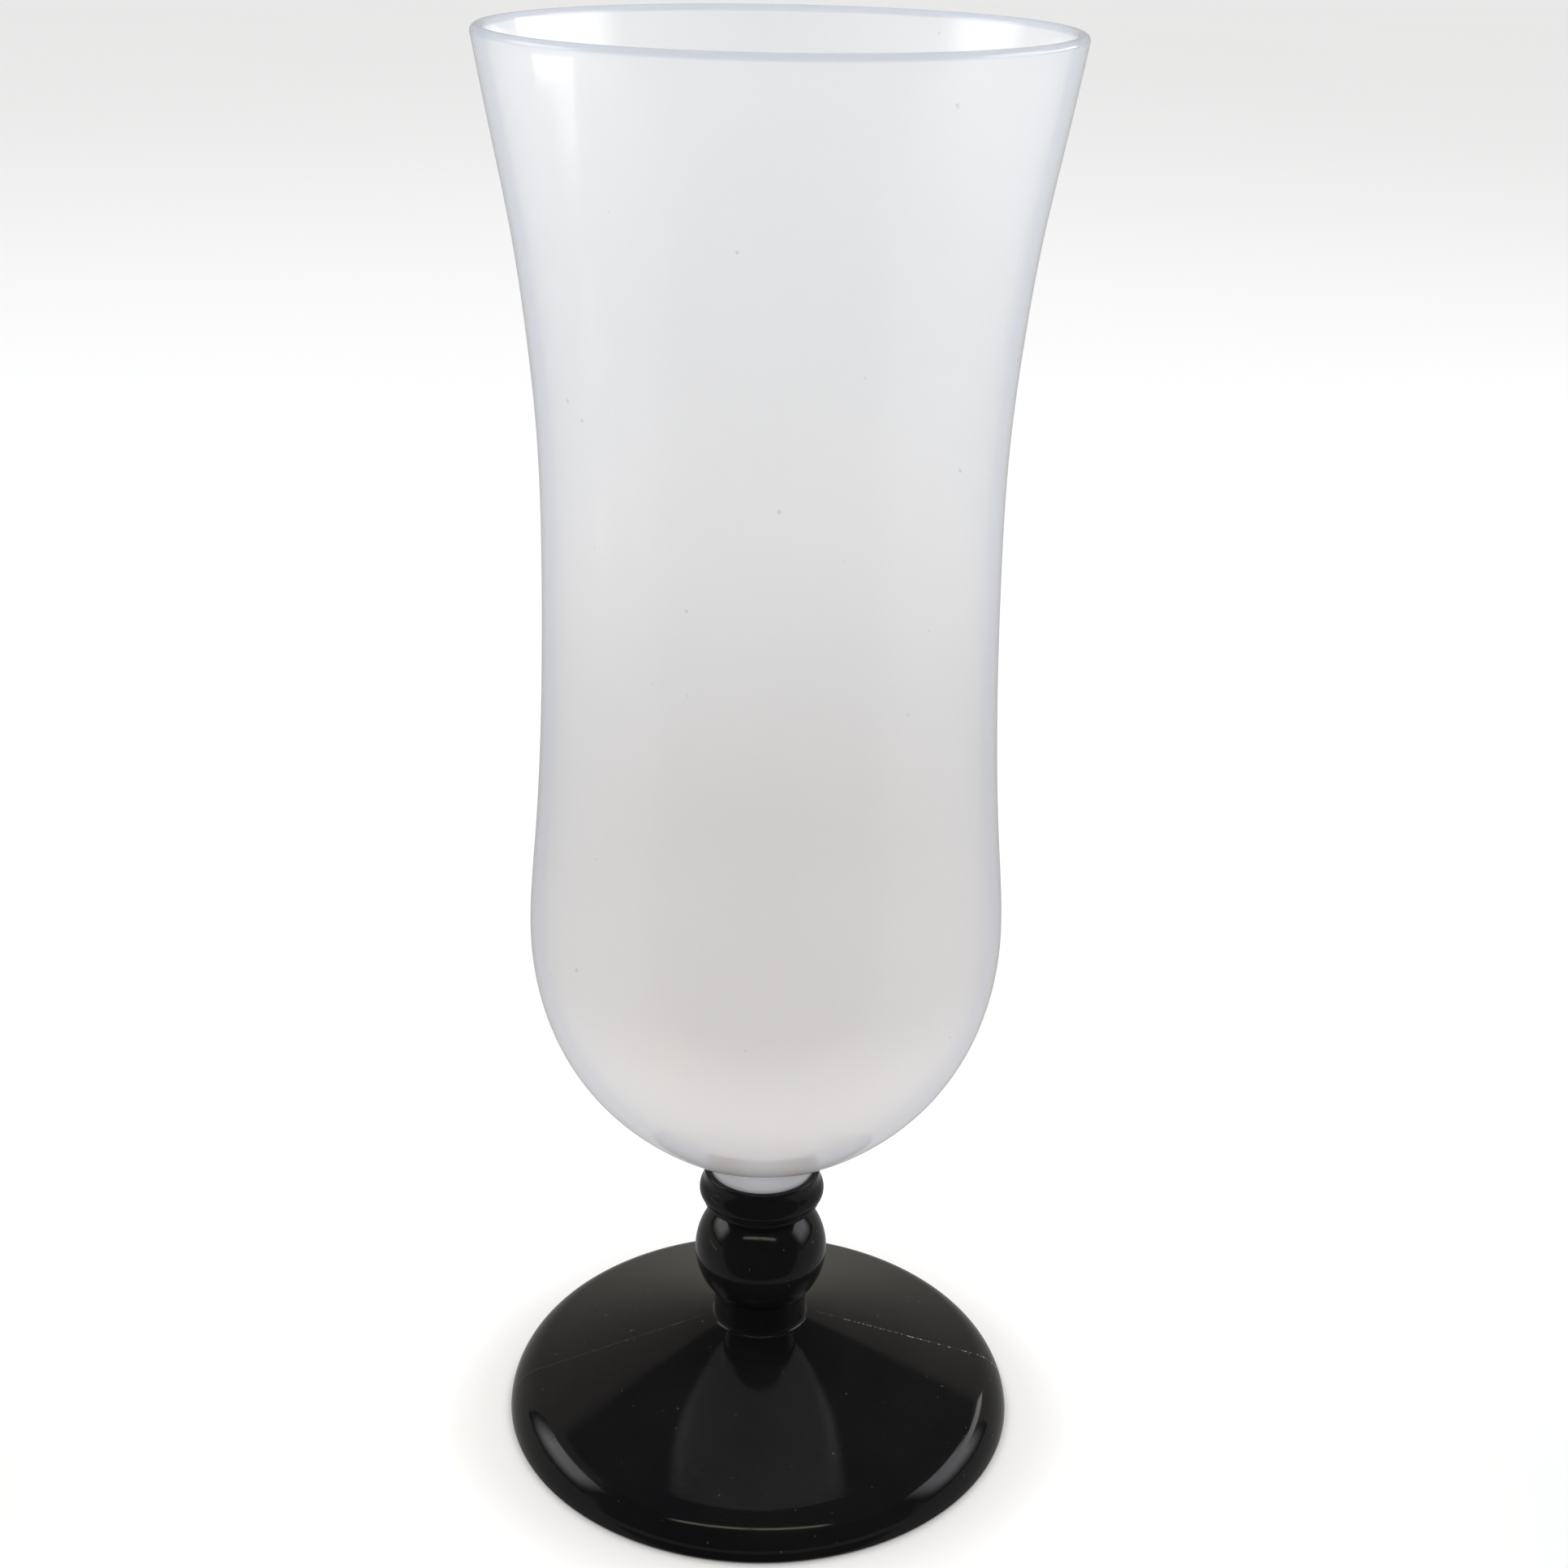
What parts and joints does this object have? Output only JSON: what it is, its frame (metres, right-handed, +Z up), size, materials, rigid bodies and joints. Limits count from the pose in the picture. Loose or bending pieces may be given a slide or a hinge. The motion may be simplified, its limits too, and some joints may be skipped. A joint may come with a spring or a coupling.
{
  "type": "hurricane glass",
  "caption": "Footed hurricane glass: a tall frosted bowl with a waist, a low bulge and a flared lip, standing by its spigot in the socket of a black stem and cone foot.",
  "frame": {"origin": "centre of the foot, on the surface the glass stands on", "axes": "+Z up along the axis of the glass, from the foot to the lip; X and Y are alike, because the glass is turned about Z"},
  "size_m": [0.079, 0.079, 0.21],
  "materials": {
    "frosted_plastic": "milky translucent polypropylene with a soft gloss",
    "black_plastic": "glossy black moulding with faint mould seams"
  },
  "bodies": {
    "base": {"stem_foot": "black_plastic"},
    "cup": {"bowl": "frosted_plastic"}
  },
  "joints": [
    {"name": "bowl_lift", "type": "slide", "parent": "base", "child": "cup", "axis": [0, 0, 1], "range_m": [0, 0.02]}
  ]
}
